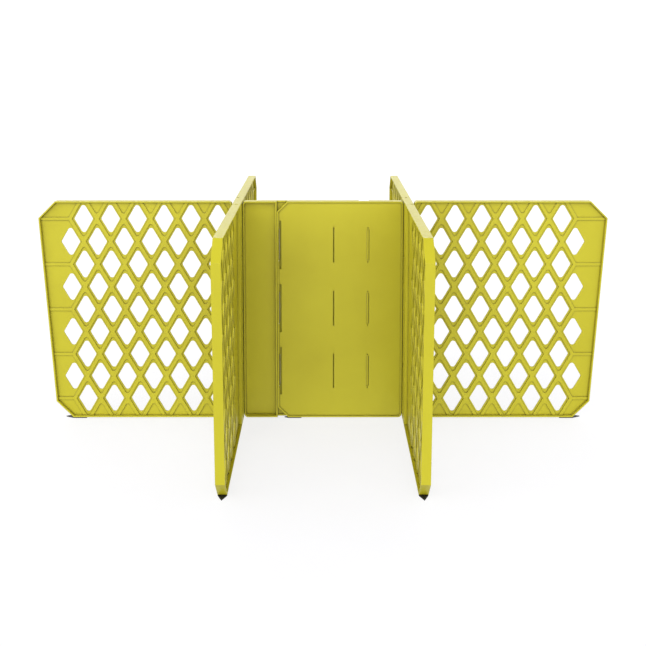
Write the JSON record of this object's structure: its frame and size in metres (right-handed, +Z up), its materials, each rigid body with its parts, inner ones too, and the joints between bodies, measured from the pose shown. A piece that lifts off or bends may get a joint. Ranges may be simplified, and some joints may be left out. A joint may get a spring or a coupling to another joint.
{
  "type": "crowd control barrier",
  "caption": "Free-standing plastic crowd barrier of two cross-shaped modules lapped and hooked in the middle, with folding lattice side wings, lift-off lattice end wings and rubber feet.",
  "frame": {"origin": "on the floor under the middle of the barrier, centre of the bounding box's bottom face", "axes": "+X along the barrier line, -Y towards the front, +Z up"},
  "size_m": [2.5516, 1.7896, 1.004],
  "materials": {
    "moulded_plastic": "yellow-green moulded plastic with a fine grain and a soft sheen",
    "foot_rubber": "matt black moulded rubber",
    "pin_steel": "drawn steel rod with a flat head"
  },
  "bodies": {
    "left_module": {"left_hub": "moulded_plastic", "left_centre_plate": "moulded_plastic", "left_front_pin": "pin_steel", "left_back_pin": "pin_steel", "left_plate_foot": "foot_rubber"},
    "left_end": {"left_outer_wing": "moulded_plastic", "left_outer_foot": "foot_rubber"},
    "left_front": {"left_front_wing": "moulded_plastic", "left_front_foot": "foot_rubber"},
    "left_back": {"left_back_wing": "moulded_plastic", "left_back_foot": "foot_rubber"},
    "right_module": {"right_hub": "moulded_plastic", "right_centre_plate": "moulded_plastic", "right_front_pin": "pin_steel", "right_back_pin": "pin_steel", "right_plate_foot": "foot_rubber"},
    "right_end": {"right_outer_wing": "moulded_plastic", "right_outer_foot": "foot_rubber"},
    "right_front": {"right_front_wing": "moulded_plastic", "right_front_foot": "foot_rubber"},
    "right_back": {"right_back_wing": "moulded_plastic", "right_back_foot": "foot_rubber"}
  },
  "joints": [
    {"name": "left_front_fold", "type": "hinge", "parent": "left_module", "child": "left_front", "pos_m": [-0.3807, -0.09, 0.504], "axis": [0, 0, -1], "range_deg": [0, 90]},
    {"name": "left_back_fold", "type": "hinge", "parent": "left_module", "child": "left_back", "pos_m": [-0.3907, 0.09, 0.504], "axis": [0, 0, 1], "range_deg": [0, 90]},
    {"name": "left_outer_lift", "type": "slide", "parent": "left_module", "child": "left_end", "axis": [0, 0, 1], "range_m": [0, 0.022]},
    {"name": "right_unhook", "type": "slide", "parent": "left_module", "child": "right_module", "axis": [0, -1, 0], "range_m": [0, 0.05]},
    {"name": "right_front_fold", "type": "hinge", "parent": "right_module", "child": "right_front", "pos_m": [0.3907, -0.09, 0.504], "axis": [0, 0, 1], "range_deg": [0, 90]},
    {"name": "right_back_fold", "type": "hinge", "parent": "right_module", "child": "right_back", "pos_m": [0.3807, 0.09, 0.504], "axis": [0, 0, -1], "range_deg": [0, 90]},
    {"name": "right_outer_lift", "type": "slide", "parent": "right_module", "child": "right_end", "axis": [0, 0, 1], "range_m": [0, 0.022]}
  ]
}
